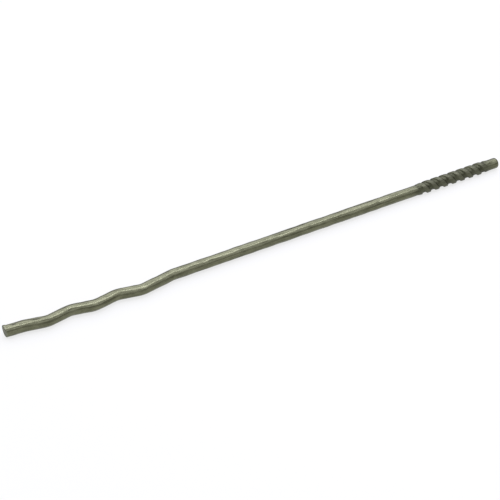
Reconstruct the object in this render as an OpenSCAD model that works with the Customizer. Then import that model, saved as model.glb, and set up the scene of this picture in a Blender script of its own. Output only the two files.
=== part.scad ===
// Masonry wall tie: one length of round wire, with a flat wave that is bedded in a mortar joint
// at one end and a coarse rolled thread with a plain nose, for a wall plug, at the other.
// It lies on its side as it comes to rest: the wave is flat and the shank runs along X.

/* [Wire] */
// Diameter of the wire
wire_d = 4; // [3:0.1:6]
// Length along the shank, from the cut end to the tip of the nose
total_length = 200; // [150:1:300]

/* [Wave] */
// Number of bows in the wave
bow_count = 3; // [1:1:5]
// Distance from one bow to the next
bow_pitch = 17.5; // [15:0.5:24]
// Depth of a bow, at the middle of the wire
bow_depth = 1.4; // [0.6:0.1:2.5]
// Radius of the bends, at the middle of the wire
bend_r = 7.5; // [5:0.5:12]
// How far the near side of the wave lies off the line of the shank
wave_offset = 0.9; // [0:0.1:2]
// Angle between the line of the wave and the line of the shank, at the first bow
wave_lean = 1.2; // [0:0.1:3]
// How much that angle falls from one bow to the next
lean_loss = 0.2; // [0:0.1:1]
// Further angle of the straight tail
tail_lean = 3.5; // [0:0.5:6]
// Length of the straight tail beyond the wave
tail_length = 6.5; // [4:0.5:30]
// Slope of the sheared face at the end of the tail
cut_angle = 6; // [0:1:15]

/* [Thread] */
// Number of starts of the thread
thread_starts = 2; // [1:1:3]
// Distance from one crest to the next
crest_pitch = 3.8; // [3:0.1:6]
// Height of the crests over the plain wire
crest_rise = 0.3; // [0.1:0.05:0.6]
// Depth of the roots under the plain wire
root_depth = 0.25; // [0.1:0.05:0.6]
// Length of the thread with its run-outs
thread_length = 34; // [20:0.5:60]
// Length over which the thread fades into the plain wire at each end
run_out = 2; // [1:0.5:6]
// Share of the pitch that the crest takes
crest_share = 0.36; // [0.2:0.02:0.5]
// Share of the pitch that the root takes
root_share = 0.24; // [0.1:0.02:0.4]
// Turn of the whole thread about the wire
thread_turn = 120; // [0:1:360]

/* [Nose] */
// Length of the plain nose
nose_length = 3.5; // [2:0.5:12]
// Rounding of the edge at the tip
nose_round = 0.8; // [0.2:0.1:1.4]

/* [Hidden] */
$fn = 64;

wire_r = wire_d / 2;
lead = crest_pitch * thread_starts;
crest_r = wire_r + crest_rise;
root_r = wire_r - root_depth;

// A bow between two straight legs: the legs' slope and length follow from its pitch, depth and bends
leg_reach = norm([bow_pitch / 2, 2 * bend_r - bow_depth]);
leg_slope = asin(2 * bend_r / leg_reach) - atan2(2 * bend_r - bow_depth, bow_pitch / 2);
leg_length = (bow_depth - 2 * bend_r * (1 - cos(leg_slope))) / sin(leg_slope);
entry_length = leg_length + wave_offset / sin(leg_slope);

// Turns of the wire from the shank to the tail, to the left where positive, and the straight after each
bend_count = 2 * bow_count + 1;
turns = [
    for (i = [0 : bend_count - 1])
        i == 0 ? leg_slope - wave_lean
        : i == bend_count - 1 ? leg_slope - tail_lean
        : i % 2 == 1 ? -2 * leg_slope
        : 2 * leg_slope + lean_loss
];
straights = [
    for (i = [0 : bend_count - 1])
        i == 0 ? entry_length
        : i == bend_count - 1 ? tail_length
        : leg_length
];

// Each bend runs this angle into its straights, and is this much thinner than they are to do so
bend_sink = 1;
bend_inset = 0.01;

// Reach of the wave along the line of the shank, from the first bend to the end of the tail
function reach(i, heading) =
    i == bend_count ? 0
    : let (after = heading + turns[i])
      bend_r * sign(turns[i]) * (sin(after) - sin(heading)) + straights[i] * cos(after) + reach(i + 1, after);

wave_reach = reach(0, 0);
shank_length = total_length - wave_reach - thread_length - nose_length;
tip_x = total_length / 2;
thread_x = tip_x - nose_length - thread_length;
wave_x = thread_x - shank_length;

// The thread is a lobed section, turned as it runs along the wire, by one point from ring to ring
points_per_lobe = 12;
ring_points = thread_starts * points_per_lobe;
ring_step = lead / ring_points;
ring_count = round(thread_length / ring_step);

// The ends of the thread run this far into the plain wire, and are this much thinner to do so
thread_sink = 1;
thread_inset = 0.03;
plain_r = wire_r - thread_inset;

function smooth(t) = let (s = min(1, max(0, t))) s * s * (3 - 2 * s);

// Height of the rolled profile, from 0 at the root to 1 at the crest, over one pitch
function profile(u) =
    let (off_crest = abs(2 * (u - floor(u)) - 1))
    1 - smooth((off_crest - crest_share) / (1 - crest_share - root_share));

// Share of the full thread that is left at a place along it
function fade(x) = smooth(x / run_out) * smooth((thread_length - x) / run_out);

function ring(x, place) = [
    for (j = [0 : ring_points - 1])
        let (
            lobe = thread_starts * j / ring_points + 0.5,
            full_r = root_r + (crest_r - root_r) * profile(lobe),
            r = plain_r + (full_r - plain_r) * fade(x),
            angle = thread_turn + 360 * j / ring_points + 360 * x / lead
        )
        [place, r * cos(angle), r * sin(angle)]
];

// The plain wire, along X from the origin
module straight(length) {
    rotate([0, 90, 0])
        cylinder(h = length, d = wire_d);
}

// A bend of the wire, which arrives at the origin along X and turns left where positive
module bend(turn) {
    side = sign(turn);
    translate([0, side * bend_r, 0])
        rotate([0, 0, side > 0 ? -90 : 90 + turn])
            rotate_extrude(start = -bend_sink, angle = abs(turn) + 2 * bend_sink)
                translate([bend_r, 0])
                    rotate(-90)
                        circle(r = wire_r - bend_inset);
}

// The straight tail, sheared so that the top of its end stands out
module tail() {
    difference() {
        straight(tail_length + wire_d * tan(cut_angle));
        translate([tail_length, 0, 0])
            rotate([0, cut_angle, 0])
                translate([0, -wire_d, -wire_d])
                    cube(2 * wire_d);
    }
}

// The i-th bend with the straight after it, and the rest of the wave carried on from there
module wave_from(i) {
    turn = turns[i];
    bend(turn);
    translate([bend_r * sin(abs(turn)), sign(turn) * bend_r * (1 - cos(turn)), 0])
        rotate([0, 0, turn])
            if (i == bend_count - 1) {
                tail();
            } else {
                straight(straights[i]);
                translate([straights[i], 0, 0])
                    wave_from(i + 1);
            }
}

module rolled_thread() {
    rings = concat(
        [ring(0, -thread_sink)],
        [for (k = [0 : ring_count - 1]) ring(k * ring_step, k * ring_step)],
        [ring(thread_length, thread_length)],
        [ring(thread_length, thread_length + thread_sink)]
    );
    last = len(rings) - 1;
    function at(k, j) = k * ring_points + j % ring_points;
    sides = [
        for (k = [0 : last - 1], j = [0 : ring_points - 1])
            each [
                [at(k, j), at(k + 1, j), at(k + 1, j + 1)],
                [at(k, j), at(k + 1, j + 1), at(k, j + 1)]
            ]
    ];
    start_cap = [for (j = [0 : ring_points - 1]) at(0, j)];
    end_cap = [for (j = [ring_points - 1 : -1 : 0]) at(last, j)];
    polyhedron(
        points = [for (r = rings) each r],
        faces = concat(sides, [start_cap, end_cap])
    );
}

module nose() {
    rotate([0, 90, 0])
        rotate_extrude() {
            square([wire_r, nose_length - nose_round]);
            square([wire_r - nose_round, nose_length]);
            translate([wire_r - nose_round, nose_length - nose_round])
                circle(r = nose_round);
        }
}

module wall_tie() {
    color([0.49, 0.49, 0.42])
        translate([0, 0, crest_r]) {
            translate([wave_x, 0, 0]) {
                rotate([0, 0, 180])
                    wave_from(0);
                straight(shank_length);
            }
            translate([thread_x, 0, 0])
                rolled_thread();
            translate([tip_x - nose_length, 0, 0])
                nose();
        }
}

wall_tie();
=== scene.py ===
"""Masonry wall tie: one drawn wire, wavy at one end and threaded at the other, lying on a pale table."""

import math

import bpy
import numpy as np
from mathutils import Matrix, Vector


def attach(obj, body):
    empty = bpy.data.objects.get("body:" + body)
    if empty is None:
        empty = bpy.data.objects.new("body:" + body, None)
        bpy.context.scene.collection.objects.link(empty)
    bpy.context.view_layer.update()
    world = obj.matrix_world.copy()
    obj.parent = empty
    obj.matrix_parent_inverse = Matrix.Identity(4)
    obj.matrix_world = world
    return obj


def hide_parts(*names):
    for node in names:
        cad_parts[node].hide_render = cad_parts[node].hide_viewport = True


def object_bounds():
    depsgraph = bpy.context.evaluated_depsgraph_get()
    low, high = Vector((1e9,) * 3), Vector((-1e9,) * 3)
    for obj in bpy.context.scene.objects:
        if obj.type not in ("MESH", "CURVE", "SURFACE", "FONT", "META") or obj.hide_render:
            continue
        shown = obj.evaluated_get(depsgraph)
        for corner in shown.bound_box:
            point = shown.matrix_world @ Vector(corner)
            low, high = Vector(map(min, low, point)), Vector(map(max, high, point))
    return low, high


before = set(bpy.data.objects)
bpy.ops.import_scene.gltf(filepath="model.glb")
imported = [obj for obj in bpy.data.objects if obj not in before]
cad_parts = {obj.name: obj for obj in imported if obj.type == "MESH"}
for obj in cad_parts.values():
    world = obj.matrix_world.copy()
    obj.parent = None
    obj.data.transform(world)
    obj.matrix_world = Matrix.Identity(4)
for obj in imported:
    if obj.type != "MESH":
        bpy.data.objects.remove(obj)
cad_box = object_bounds()

MM = 0.001

# Sizes of the wire, in millimetres and radians, as in the part's source
WIRE_R = 2.0
TOTAL_LENGTH = 200.0
BOW_COUNT = 3
BOW_PITCH = 17.5
BOW_DEPTH = 1.4
BEND_R = 7.5
WAVE_OFFSET = 0.9
WAVE_LEAN = math.radians(1.2)
LEAN_LOSS = math.radians(0.2)
TAIL_LEAN = math.radians(3.5)
TAIL_LENGTH = 6.5
THREAD_STARTS = 2
CREST_PITCH = 3.8
CREST_RISE = 0.3
ROOT_DEPTH = 0.25
THREAD_LENGTH = 34.0
CREST_SHARE = 0.36
ROOT_SHARE = 0.24
THREAD_TURN = math.radians(120)
NOSE_LENGTH = 3.5
NOSE_ROUND = 0.8
AXIS_HEIGHT = WIRE_R + CREST_RISE

# Length over which the thread rises out of the wire at each end, longer than in the part's source
THREAD_FADE = 4.5

# The sheared face: its turn towards the camera, its lean, by which the top stands out, and its place
CUT_TURN = math.radians(6.2)
CUT_LEAN = math.radians(4.4)
CUT_PLACE = -0.03
# Its broken edge, and how far behind the cut the finish of the face and the painted highlight on that edge
# reach
CUT_EDGE = 0.1
CUT_FACE_REACH = 0.01
CUT_EDGE_REACH = 0.25

# Unevenness of the drawn wire: depth, size of the dents, how far they are drawn out, share on the thread
WEAR_DEPTH = 0.2
WEAR_SIZE = 1.3
WEAR_STRETCH = 3.2
WEAR_ON_THREAD = 0.4
# It starts this far from the tail and from the tip, and grows over this length
WEAR_FROM_TAIL = 0.5
WEAR_FROM_TIP = 1.5
WEAR_FADE = 2.0

# The tail is squeezed taller by the shear: fully up to one length, and then less and less over another
SQUEEZE_RISE = 0.13
SQUEEZE_FULL = 3.0
SQUEEZE_FADE = 14.0

# Marks of the shear's clamp and of the bender: place and length of each, and their angle, width and depth
CLAMP_MARKS = ((3.3, 0.8), (11.2, 1.5))
CLAMP_ANGLE = math.radians(86)
CLAMP_WIDTH = 0.25
CLAMP_DEPTH = 0.2

# The burr that the blade drags up, and the radius past which a point is on the wire's rim
BURR_PLACE = 0.1
BURR_LENGTH = 0.45
BURR_ANGLE = math.radians(66)
BURR_WIDTH = 0.36
BURR_RISE = 0.34
RIM_R = 1.8

# The thread's darker metal, partly its rolled finish and partly painted shade of its grooves, starts before
# the thread, and gives way to a paler nose
DARK_LEAD = 4.0
DARK_FADE = 6.0
PALE_LEAD = 2.0
PALE_FADE = 3.0
PALE_SHARE = 0.87

# How far inside the solid's box the wire is rubbed level on each axis, and the most that is rubbed off
LOW_MARGIN = (0.0377, 0.0425, 0.02)
HIGH_MARGIN = (0.02, 0.0438, 0.03)
RUB_REACH = 0.4

# Fineness of the mesh: points around the wire, lengths along it, and the rounding and rings of its ends
POINTS_AROUND = 72
WAVE_STEP = 0.4
SHANK_STEP = 0.5
THREAD_STEP = 0.125
NOSE_STEP = 0.3
NOSE_ROUND_STEPS = 10
NOSE_RINGS = 3
NOSE_RING_STEP = 0.3
CUT_EDGE_STEPS = 3
CUT_RINGS = 5
CUT_RING_STEP = 0.32

# The wire starts this far ahead of the cut, and no ring lies this near the cut or the tip
SHORN_LENGTH = 1.0
TAIL_EDGE = 0.5
NOSE_EDGE = NOSE_ROUND + 0.1

# A point this near a plane lies in it, a normal past this cosine looks that way, a weight below this is none
TOUCH = 0.005
FACING = 0.999
LEAST_WEIGHT = 1e-4

# The camera of the photograph: its direction from the tie, its distance, and the tie's place in the picture
CAMERA_AZIMUTH = math.radians(-29.2)
CAMERA_ELEVATION = math.radians(38.39)
CAMERA_DISTANCE = 600.0
CAMERA_FOCUS_PX = 1687.5
PICTURE_PX = 500
TIE_RIGHT_PX = 16.4
TIE_UP_PX = 7.9
SENSOR_WIDTH = 36.0

# Tones of the steel
DRAWN_DARK = (0.087, 0.09, 0.0555)
DRAWN_MIDDLE = (0.14, 0.1435, 0.0907)
DRAWN_PALE = (0.19, 0.1945, 0.125)
OXIDE = (0.075, 0.074, 0.046)
ROLLED_FINISH_AND_SHADE = (0.42, 0.43, 0.45)
ROOT_OIL_AND_SHADE = (0.38, 0.39, 0.38)
BARE_CREST = (0.24, 0.24, 0.19)
CLAMP_STAIN = (0.045, 0.045, 0.034)
SHEARED_FACE = (0.15, 0.152, 0.108)
CUT_RIM_HIGHLIGHT = (0.27, 0.275, 0.21)

# The colour of the lamps, and the light from all round
COOL_WHITE = (0.98, 0.98, 1.15)
ROOM_LIGHT = 0.62

# The white table: its size in metres, how much light it throws back, and how much of its white is its own
TABLE_SIZE = 6.0
TABLE_TONE = 0.18
TABLE_GLOW = 0.74


def wave_chain():
    """Turns of the wire from shank to tail, to the left where positive, and the straight after each."""
    reach = math.hypot(BOW_PITCH / 2, 2 * BEND_R - BOW_DEPTH)
    slope = math.asin(2 * BEND_R / reach) - math.atan2(2 * BEND_R - BOW_DEPTH, BOW_PITCH / 2)
    leg = (BOW_DEPTH - 2 * BEND_R * (1 - math.cos(slope))) / math.sin(slope)
    turns = [slope - WAVE_LEAN]
    straights = [leg + WAVE_OFFSET / math.sin(slope)]
    for bow in range(BOW_COUNT):
        turns += [-2 * slope, 2 * slope + LEAN_LOSS]
        straights += [leg, leg]
    turns[-1] = slope - TAIL_LEAN
    straights[-1] = TAIL_LENGTH
    return turns, straights


WAVE_TURNS, WAVE_STRAIGHTS = wave_chain()


def wave_line():
    """Points of the middle line from shank to tail, each with its heading and the turn that leads to it."""
    place, heading = Vector((0, 0)), 0.0
    line = [(place, heading, 0.0)]
    for turn, straight in zip(WAVE_TURNS, WAVE_STRAIGHTS):
        side = math.copysign(1, turn)
        after = heading + turn
        place = place + side * BEND_R * Vector(
            (math.sin(after) - math.sin(heading), math.cos(heading) - math.cos(after))
        )
        line.append((place, after, turn))
        place = place + straight * Vector((math.cos(after), math.sin(after)))
        line.append((place, after, 0.0))
        heading = after
    return line


WAVE_LINE = wave_line()
WAVE_LENGTH = sum(BEND_R * abs(turn) for turn in WAVE_TURNS) + sum(WAVE_STRAIGHTS)
WAVE_X = WAVE_LINE[-1][0].x - TOTAL_LENGTH / 2
THREAD_X = TOTAL_LENGTH / 2 - NOSE_LENGTH - THREAD_LENGTH
# Along the straightened wire, from the end of the tail
THREAD_START = WAVE_LENGTH + THREAD_X - WAVE_X
THREAD_END = THREAD_START + THREAD_LENGTH
WIRE_END = THREAD_END + NOSE_LENGTH


def deselect_everything():
    bpy.ops.object.select_all(action="DESELECT")


def work_on(piece):
    deselect_everything()
    piece.select_set(True)
    bpy.context.view_layer.objects.active = piece


def select_edges(piece, wanted):
    """In edit mode: selects just the edges whose two ends are both wanted."""
    bpy.ops.mesh.select_all(action="DESELECT")
    bpy.ops.mesh.select_mode(type="EDGE")
    bpy.ops.object.mode_set(mode="OBJECT")
    mesh = piece.data
    kept = [wanted(vertex.co / MM) for vertex in mesh.vertices]
    for edge in mesh.edges:
        edge.select = kept[edge.vertices[0]] and kept[edge.vertices[1]]
    bpy.ops.object.mode_set(mode="EDIT")


def select_faces(piece, wanted):
    """In edit mode: selects just the faces whose normal is wanted."""
    bpy.ops.mesh.select_all(action="DESELECT")
    bpy.ops.mesh.select_mode(type="FACE")
    bpy.ops.object.mode_set(mode="OBJECT")
    for face in piece.data.polygons:
        face.select = wanted(face.normal)
    bpy.ops.object.mode_set(mode="EDIT")


def round_edge(size, steps):
    """In edit mode: rounds the selected edges."""
    bpy.ops.mesh.bevel(offset=size * MM, segments=steps, profile=0.5, affect="EDGES", clamp_overlap=False)


def close_end(rings, step):
    """In edit mode: rings the selected end face, and closes its middle to a point."""
    for ring in range(rings):
        bpy.ops.mesh.inset(thickness=step * MM)
    bpy.ops.mesh.poke()


def face_outwards():
    """In edit mode: turns all faces to the outside."""
    bpy.ops.mesh.select_all(action="SELECT")
    bpy.ops.mesh.normals_make_consistent(inside=False)


def draw_wire():
    """The plain wire, straight along X, as rings that lie closer together where it is to be formed."""
    deselect_everything()
    bpy.ops.mesh.primitive_circle_add(
        vertices=POINTS_AROUND,
        radius=WIRE_R * MM,
        location=(-SHORN_LENGTH * MM, 0, 0),
        rotation=(0, math.pi / 2, 0),
    )
    wire = bpy.context.object
    wire.name = "drawn_wire_tie"
    wire.data.name = "drawn_wire_tie"
    bpy.ops.object.transform_apply(location=True, rotation=True, scale=True)
    bpy.ops.object.mode_set(mode="EDIT")
    bpy.ops.mesh.select_all(action="SELECT")
    stretches = [
        (-SHORN_LENGTH, TAIL_EDGE, SHORN_LENGTH + TAIL_EDGE),
        (TAIL_EDGE, WAVE_LENGTH, WAVE_STEP),
        (WAVE_LENGTH, THREAD_START, SHANK_STEP),
        (THREAD_START, THREAD_END, THREAD_STEP),
        (THREAD_END, WIRE_END - NOSE_EDGE, NOSE_STEP),
        (WIRE_END - NOSE_EDGE, WIRE_END, NOSE_EDGE),
    ]
    for begin, end, step in stretches:
        count = max(1, round((end - begin) / step))
        bpy.ops.mesh.extrude_repeat(steps=count, offset=((end - begin) / count * MM, 0, 0))
    bpy.ops.mesh.edge_face_add()
    face_outwards()
    bpy.ops.object.mode_set(mode="OBJECT")
    return wire


def round_nose(wire):
    """The tip's edge is rounded, and its flat middle closed to a point."""
    bpy.ops.object.mode_set(mode="EDIT")
    select_edges(wire, lambda p: p.x > WIRE_END - TOUCH)
    round_edge(NOSE_ROUND, NOSE_ROUND_STEPS)
    select_faces(wire, lambda normal: normal.x > FACING)
    close_end(NOSE_RINGS, NOSE_RING_STEP)
    bpy.ops.object.mode_set(mode="OBJECT")


def cut_normal():
    """Direction across the sheared face, into the wire."""
    return Vector((1, math.tan(CUT_TURN), math.tan(CUT_LEAN)))


def shear_tail(wire):
    """The other end is sheared off aslant, which leaves a face with a broken edge."""
    bpy.ops.object.mode_set(mode="EDIT")
    bpy.ops.mesh.select_all(action="SELECT")
    cut = cut_normal()
    bpy.ops.mesh.bisect(plane_co=(CUT_PLACE * MM, 0, 0), plane_no=cut, use_fill=True, clear_inner=True)
    select_edges(wire, lambda p: abs(p.dot(cut) - CUT_PLACE) < TOUCH)
    round_edge(CUT_EDGE, CUT_EDGE_STEPS)
    select_faces(wire, lambda normal: normal.dot(cut.normalized()) < -FACING)
    close_end(CUT_RINGS, CUT_RING_STEP)
    face_outwards()
    bpy.ops.object.mode_set(mode="OBJECT")


def smooth(t):
    t = np.clip(t, 0, 1)
    return t * t * (3 - 2 * t)


def angles(place):
    """Angle of each point about the wire, from +Y up to +Z."""
    return np.arctan2(place[:, 2], place[:, 1])


def rolled_share(place):
    """Share of the full thread at each point: none on the plain wire, all of it past the fade."""
    along = place[:, 0] - THREAD_START
    return smooth(along / THREAD_FADE) * smooth((THREAD_LENGTH - along) / THREAD_FADE)


def rolled_height(place):
    """Height of the rolled profile at each point: 0 at the root and 1 at the crest."""
    turned = (angles(place) - THREAD_TURN) / math.tau
    led = (place[:, 0] - THREAD_START) / (CREST_PITCH * THREAD_STARTS)
    lobe = THREAD_STARTS * (turned - led) + 0.5
    off_crest = np.abs(2 * (lobe - np.floor(lobe)) - 1)
    return 1 - smooth((off_crest - CREST_SHARE) / (1 - CREST_SHARE - ROOT_SHARE))


def places(piece):
    """The piece's points in millimetres."""
    flat = np.empty(3 * len(piece.data.vertices), np.float32)
    piece.data.vertices.foreach_get("co", flat)
    return flat.reshape(-1, 3) / MM


def press(piece, name, weights, depth, texture=None, level=0.0, along=1.0):
    """Moves the surface along its normals, by depth times each point's weight, and keeps no group."""
    group = piece.vertex_groups.new(name=name)
    for index in np.nonzero(weights > LEAST_WEIGHT)[0]:
        group.add([int(index)], float(weights[index]), "REPLACE")
    work_on(piece)
    tool = piece.modifiers.new(name, "DISPLACE")
    tool.direction = "NORMAL"
    tool.vertex_group = name
    tool.strength = depth * MM
    tool.mid_level = level
    if texture:
        # A texture is drawn out along the wire
        stretch = bpy.data.objects.new(name, None)
        stretch.scale = (along, 1, 1)
        bpy.context.scene.collection.objects.link(stretch)
        bpy.context.view_layer.update()
        tool.texture = texture
        tool.texture_coords = "OBJECT"
        tool.texture_coords_object = stretch
    bpy.ops.object.modifier_apply(modifier=name)
    if texture:
        bpy.data.objects.remove(stretch)
    piece.vertex_groups.clear()


def roll_thread(wire):
    """The thread is rolled in: the roots go under the wire's surface, and push the crests out over it."""
    press(wire, "roots", rolled_share(places(wire)), -ROOT_DEPTH)
    place = places(wire)
    press(wire, "crests", rolled_share(place) * rolled_height(place), CREST_RISE + ROOT_DEPTH)


def wear_wire(wire):
    """Drawing and handling leave the wire a little uneven, more so where it wasn't rolled."""
    dents = bpy.data.textures.new("handling_dents", "CLOUDS")
    dents.noise_scale = WEAR_SIZE * MM
    dents.noise_depth = 1
    place = places(wire)
    from_tail = smooth((place[:, 0] - WEAR_FROM_TAIL) / WEAR_FADE)
    from_tip = smooth((WIRE_END - WEAR_FROM_TIP - place[:, 0]) / WEAR_FADE)
    plain = 1 - (1 - WEAR_ON_THREAD) * rolled_share(place)
    press(wire, "handling", from_tail * from_tip * plain, WEAR_DEPTH, dents, level=0.5, along=WEAR_STRETCH)
    bpy.data.textures.remove(dents)


def spot(place, middle, length, angle, width):
    """A soft spot on the straight wire: 1 at its middle, and less along the wire and around it."""
    along = (place[:, 0] - middle) / length
    around = (angles(place) - angle) / width
    return np.exp(-(along**2) - around**2)


def clamp_marks(place):
    """Where the shear's clamp and the bender gripped the top of the wire."""
    return sum(spot(place, middle, length, CLAMP_ANGLE, CLAMP_WIDTH) for middle, length in CLAMP_MARKS)


def mark_tail(wire):
    """The shear squeezes the tail a little taller, its clamp dents it, and its blade drags up a burr."""
    place = places(wire)
    rim = np.hypot(place[:, 1], place[:, 2]) > RIM_R
    squeezed = (place[:, 2] / WIRE_R) ** 2 * (1 - smooth((place[:, 0] - SQUEEZE_FULL) / SQUEEZE_FADE))
    press(wire, "squeezed_tail", squeezed * rim, SQUEEZE_RISE)
    press(wire, "clamp_dents", clamp_marks(places(wire)), -CLAMP_DEPTH)
    burr = spot(places(wire), BURR_PLACE, BURR_LENGTH, BURR_ANGLE, BURR_WIDTH)
    press(wire, "burr", burr * rim, BURR_RISE)


def note(piece, name, kind, values):
    """Keeps a value for each point on the piece's mesh."""
    attribute = piece.data.attributes.new(name, kind, "POINT")
    field = "vector" if kind == "FLOAT_VECTOR" else "value"
    attribute.data.foreach_set(field, np.ascontiguousarray(values, np.float32).ravel())


def note_finish(wire):
    """Keeps, for the finish, where each point was on the straight wire and how it was formed."""
    place = places(wire)
    share, height = rolled_share(place), rolled_height(place)
    note(wire, "drawn", "FLOAT_VECTOR", place * MM)
    note(wire, "stain", "FLOAT", clamp_marks(place))
    note(wire, "rolled", "FLOAT", share)
    note(wire, "crest", "FLOAT", share * height)
    note(wire, "root", "FLOAT", share * (1 - height))
    behind_cut = place @ np.array(cut_normal()) - CUT_PLACE
    on_face = behind_cut < CUT_FACE_REACH
    note(wire, "cut_face", "FLOAT", on_face * 1.0)
    # The ring just behind the cut is painted lighter: a painted highlight on the cut's rim
    note(wire, "cut_rim_highlight", "FLOAT", ~on_face * (behind_cut < CUT_EDGE_REACH) * 1.0)
    # Where the thread is darker: partly its rolled finish, partly painted shade of its grooves
    dark = smooth((place[:, 0] - THREAD_START + DARK_LEAD) / DARK_FADE)
    pale = PALE_SHARE * smooth((place[:, 0] - THREAD_END + PALE_LEAD) / PALE_FADE)
    note(wire, "darkened", "FLOAT", dark * (1 - pale))


def handle_length(turn, span):
    """Length of a curve's handle that gives an arc where the wire turns, and a straight line elsewhere."""
    return 4 / 3 * math.tan(abs(turn) / 4) * BEND_R * MM if turn else span / 3


def bend_wave(wire):
    """The straight wire is bent along the line of the wave, from the tail to the shank."""
    knots = []
    for place, heading, turn in reversed(WAVE_LINE):
        middle = Vector((WAVE_X - place.x, -place.y, AXIS_HEIGHT)) * MM
        knots.append((middle, Vector((math.cos(heading), math.sin(heading), 0)), turn))
    tip = Vector((TOTAL_LENGTH / 2, 0, AXIS_HEIGHT)) * MM
    knots.append((tip, Vector((1, 0, 0)), 0.0))
    data = bpy.data.curves.new("wave_line", "CURVE")
    data.dimensions = "3D"
    data.twist_mode = "Z_UP"
    data.resolution_u = 128
    spline = data.splines.new("BEZIER")
    spline.bezier_points.add(len(knots) - 1)
    for knot, (middle, *_) in zip(spline.bezier_points, knots):
        knot.handle_left_type = knot.handle_right_type = "FREE"
        knot.co = knot.handle_left = knot.handle_right = middle
    # A turn is noted on the point where it ends, seen from the shank, so here it starts the next stretch
    for index in range(len(knots) - 1):
        (begin, begin_heading, turn), (end, end_heading, _) = knots[index : index + 2]
        length = handle_length(turn, (end - begin).length)
        spline.bezier_points[index].handle_right = begin + begin_heading * length
        spline.bezier_points[index + 1].handle_left = end - end_heading * length
    line = bpy.data.objects.new("wave_line", data)
    bpy.context.scene.collection.objects.link(line)
    work_on(wire)
    tool = wire.modifiers.new("wave", "CURVE")
    tool.object = line
    tool.deform_axis = "POS_X"
    bpy.ops.object.modifier_apply(modifier="wave")
    bpy.data.objects.remove(line)
    bpy.data.curves.remove(data)


def rub_level(wire):
    """What stands out most, such as a crest or the burr, is rubbed level just inside the solid's box."""
    place = places(wire)
    low = np.array(cad_box[0]) / MM + LOW_MARGIN
    high = np.array(cad_box[1]) / MM - HIGH_MARGIN
    proud = np.maximum(low - place, place - high).max(axis=1)
    press(wire, "rubbed_level", np.clip(proud / RUB_REACH, 0, 1), -RUB_REACH)


def close_up(wire):
    """Faces outwards, and smooth apart from the edges of the cut."""
    work_on(wire)
    bpy.ops.object.mode_set(mode="EDIT")
    bpy.ops.mesh.select_all(action="SELECT")
    bpy.ops.mesh.remove_doubles(threshold=0.0005 * MM)
    face_outwards()
    bpy.ops.object.mode_set(mode="OBJECT")
    bpy.ops.object.shade_smooth_by_angle(angle=math.radians(40))


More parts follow.
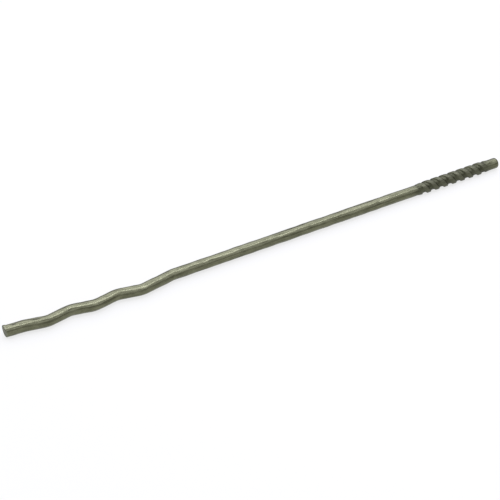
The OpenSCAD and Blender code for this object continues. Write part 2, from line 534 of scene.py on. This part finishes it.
def drawn_steel():
    """Dull drawn wire: draw marks, mottled oxide, a thread and roots darkened partly by oil and partly by
    painted shade, bare metal on the crests, and a painted highlight on the cut's rim.
    """
    material = bpy.data.materials.new("drawn_steel")
    material.use_nodes = True
    tree = material.node_tree
    tree.nodes.clear()

    def add(kind, **settings):
        node = tree.nodes.new(kind)
        for key, value in settings.items():
            setattr(node, key, value)
        return node

    def feed(socket, value):
        if isinstance(value, bpy.types.NodeSocket):
            tree.links.new(value, socket)
        else:
            socket.default_value = value

    def noted(name, output="Fac"):
        return add("ShaderNodeAttribute", attribute_name=name).outputs[output]

    def stretched(scale):
        mapping = add("ShaderNodeMapping")
        feed(mapping.inputs["Vector"], drawn)
        feed(mapping.inputs["Scale"], scale)
        return mapping.outputs["Vector"]

    def noise(vector, scale, detail, rough):
        node = add("ShaderNodeTexNoise")
        feed(node.inputs["Vector"], vector)
        feed(node.inputs["Scale"], scale)
        feed(node.inputs["Detail"], detail)
        feed(node.inputs["Roughness"], rough)
        return node.outputs["Fac"]

    def ramp(fac, *stops):
        node = add("ShaderNodeValToRGB")
        feed(node.inputs["Fac"], fac)
        elements = node.color_ramp.elements
        while len(elements) < len(stops):
            elements.new(0.5)
        for element, (position, colour) in zip(elements, stops):
            element.position = position
            element.color = (*colour, 1)
        return node.outputs["Color"]

    def combine(operation, a, b, clamp=False):
        node = add("ShaderNodeMath", operation=operation, use_clamp=clamp)
        feed(node.inputs[0], a)
        feed(node.inputs[1], b)
        return node.outputs["Value"]

    def times(a, b):
        return combine("MULTIPLY", a, b)

    def plus(a, b, clamp=False):
        return combine("ADD", a, b, clamp)

    def spread(value, low, high, to_low, to_high):
        node = add("ShaderNodeMapRange", clamp=True)
        for name, number in zip(
            ("Value", "From Min", "From Max", "To Min", "To Max"), (value, low, high, to_low, to_high)
        ):
            feed(node.inputs[name], number)
        return node.outputs["Result"]

    def blend(kind, fac, base, tint):
        node = add("ShaderNodeMix", data_type="RGBA", blend_type=kind)
        feed(node.inputs["Factor"], fac)
        feed(node.inputs["A"], base)
        feed(node.inputs["B"], (*tint, 1))
        return node.outputs["Result"]

    drawn = noted("drawn", "Vector")
    cut_face = noted("cut_face")

    draw_marks = noise(stretched((60, 2600, 2600)), scale=1.0, detail=3.0, rough=0.6)
    fine_marks = noise(stretched((150, 7000, 7000)), scale=1.0, detail=2.0, rough=0.5)
    mottle = noise(stretched((260, 420, 420)), scale=1.0, detail=4.0, rough=0.6)
    specks = noise(drawn, scale=2200.0, detail=2.0, rough=0.6)

    tone = plus(times(draw_marks, 0.5), times(mottle, 0.5))
    metal = ramp(tone, (0.36, DRAWN_DARK), (0.5, DRAWN_MIDDLE), (0.64, DRAWN_PALE))
    oxidised = spread(specks, low=0.58, high=0.72, to_low=0.0, to_high=0.45)
    metal = blend("MIX", oxidised, metal, OXIDE)
    # The threaded stretch is darkened: partly its rolled finish, partly painted shade of the grooves
    metal = blend("MULTIPLY", times(noted("darkened"), 0.6), metal, ROLLED_FINISH_AND_SHADE)
    # The roots are darker: partly oil, partly painted shade in the grooves
    metal = blend("MULTIPLY", times(noted("root"), 0.25), metal, ROOT_OIL_AND_SHADE)
    metal = blend("MIX", times(combine("POWER", noted("crest"), 3.0), 0.1), metal, BARE_CREST)
    metal = blend("MIX", times(noted("stain"), 0.8), metal, CLAMP_STAIN)
    metal = blend("MIX", times(cut_face, 0.8), metal, SHEARED_FACE)
    # The cut's rim is painted lighter: a painted highlight
    metal = blend("MIX", times(noted("cut_rim_highlight"), 0.3), metal, CUT_RIM_HIGHLIGHT)

    worn = plus(draw_marks, times(mottle, 0.6))
    roughness = spread(worn, low=0.55, high=1.05, to_low=0.16, to_high=0.36)
    roughness = plus(roughness, times(noted("rolled"), 0.2))
    roughness = plus(roughness, times(cut_face, 0.28), clamp=True)

    bump = add("ShaderNodeBump")
    feed(bump.inputs["Strength"], 0.35)
    feed(bump.inputs["Distance"], 0.03 * MM)
    feed(bump.inputs["Height"], plus(times(draw_marks, 0.7), times(fine_marks, 0.3)))

    shader = add("ShaderNodeBsdfPrincipled")
    feed(shader.inputs["Base Color"], metal)
    feed(shader.inputs["Metallic"], 1.0)
    feed(shader.inputs["Roughness"], roughness)
    feed(shader.inputs["Normal"], bump.outputs["Normal"])
    output = add("ShaderNodeOutputMaterial")
    feed(output.inputs["Surface"], shader.outputs["BSDF"])
    return material


def lay_table():
    """A plain white table that keeps the tie's shadow."""
    deselect_everything()
    bpy.ops.mesh.primitive_plane_add(size=TABLE_SIZE, location=(0, 0, 0))
    table = bpy.context.object
    table.name = "table"
    material = bpy.data.materials.new("white_table")
    material.use_nodes = True
    tree = material.node_tree
    tree.nodes.clear()
    # The camera, and what the metal mirrors, both show the table's own white
    paths = tree.nodes.new("ShaderNodeLightPath")
    mirrored = tree.nodes.new("ShaderNodeMath")
    mirrored.operation = "ADD"
    seen = tree.nodes.new("ShaderNodeMath")
    seen.operation = "ADD"
    seen.use_clamp = True
    strength = tree.nodes.new("ShaderNodeMath")
    strength.operation = "MULTIPLY"
    strength.inputs[1].default_value = TABLE_GLOW
    paint = tree.nodes.new("ShaderNodeBsdfDiffuse")
    paint.inputs["Color"].default_value = (TABLE_TONE, TABLE_TONE, TABLE_TONE, 1)
    glow = tree.nodes.new("ShaderNodeEmission")
    glow.inputs["Color"].default_value = (1, 1, 1, 1)
    both = tree.nodes.new("ShaderNodeAddShader")
    output = tree.nodes.new("ShaderNodeOutputMaterial")
    link = tree.links.new
    link(paths.outputs["Is Camera Ray"], mirrored.inputs[0])
    link(paths.outputs["Is Glossy Ray"], mirrored.inputs[1])
    link(mirrored.outputs[0], seen.inputs[0])
    link(paths.outputs["Is Transmission Ray"], seen.inputs[1])
    link(seen.outputs[0], strength.inputs[0])
    link(strength.outputs[0], glow.inputs["Strength"])
    link(paint.outputs[0], both.inputs[0])
    link(glow.outputs[0], both.inputs[1])
    link(both.outputs[0], output.inputs["Surface"])
    table.data.materials.append(material)


def hang_softbox(name, elevation, distance, ahead, size, radiance):
    """A soft lamp along the wire: degrees from the camera's side over the top, and metres."""
    length, width = size
    lamp = bpy.data.lights.new(name, "AREA")
    lamp.shape = "RECTANGLE"
    lamp.size = length
    lamp.size_y = width
    lamp.energy = radiance * math.pi * width * length
    lamp.color = COOL_WHITE
    box = bpy.data.objects.new(name, lamp)
    raised = math.radians(elevation)
    away = Vector((0, -math.cos(raised), math.sin(raised)))
    along = Vector((1, 0, 0))
    turn = Matrix((along, away.cross(along), away)).transposed()
    box.matrix_world = Matrix.Translation(away * distance + along * ahead) @ turn.to_4x4()
    box.visible_camera = False
    bpy.context.scene.collection.objects.link(box)


def light_studio():
    """Soft lamps over, behind and in front of the wire, and an even light from all round."""
    scene = bpy.context.scene
    world = bpy.data.worlds.new("studio")
    world.use_nodes = True
    room = world.node_tree.nodes["Background"]
    room.inputs["Color"].default_value = (1, 1, 1, 1)
    room.inputs["Strength"].default_value = ROOM_LIGHT
    scene.world = world
    hang_softbox("strip_over", elevation=88, distance=0.7, ahead=0.1, size=(0.7, 0.09), radiance=5.0)
    hang_softbox("softbox_over", elevation=79, distance=0.8, ahead=0.15, size=(0.9, 0.36), radiance=2.1)
    hang_softbox("softbox_back", elevation=125, distance=0.9, ahead=0.25, size=(1.2, 0.85), radiance=1.95)
    hang_softbox("softbox_front", elevation=44, distance=1.2, ahead=0.3, size=(1.2, 0.5), radiance=0.9)
    scene.view_settings.view_transform = "Standard"


def set_camera():
    """The camera of the photograph, which sees the tie a little off the middle of the picture."""
    back = Vector(
        (
            math.sin(CAMERA_AZIMUTH) * math.cos(CAMERA_ELEVATION),
            -math.cos(CAMERA_AZIMUTH) * math.cos(CAMERA_ELEVATION),
            math.sin(CAMERA_ELEVATION),
        )
    )
    right = Vector((math.cos(CAMERA_AZIMUTH), math.sin(CAMERA_AZIMUTH), 0))
    up = back.cross(right)
    mm_per_px = CAMERA_DISTANCE / CAMERA_FOCUS_PX
    middle = Vector((0, 0, AXIS_HEIGHT))
    eye = middle + back * CAMERA_DISTANCE - right * TIE_RIGHT_PX * mm_per_px - up * TIE_UP_PX * mm_per_px
    data = bpy.data.cameras.new("camera")
    data.sensor_fit = "HORIZONTAL"
    data.sensor_width = SENSOR_WIDTH
    data.lens = CAMERA_FOCUS_PX / PICTURE_PX * SENSOR_WIDTH
    data.clip_start = 0.01
    camera = bpy.data.objects.new("camera", data)
    camera.matrix_world = Matrix.Translation(eye * MM) @ Matrix((right, up, back)).transposed().to_4x4()
    bpy.context.scene.collection.objects.link(camera)
    bpy.context.scene.camera = camera


set_camera()
light_studio()
lay_table()

wall_tie = draw_wire()
round_nose(wall_tie)
shear_tail(wall_tie)
roll_thread(wall_tie)
wear_wire(wall_tie)
mark_tail(wall_tie)
note_finish(wall_tie)
bend_wave(wall_tie)
rub_level(wall_tie)
close_up(wall_tie)
wall_tie.data.materials.append(drawn_steel())

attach(wall_tie, "root")
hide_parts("wall_tie")
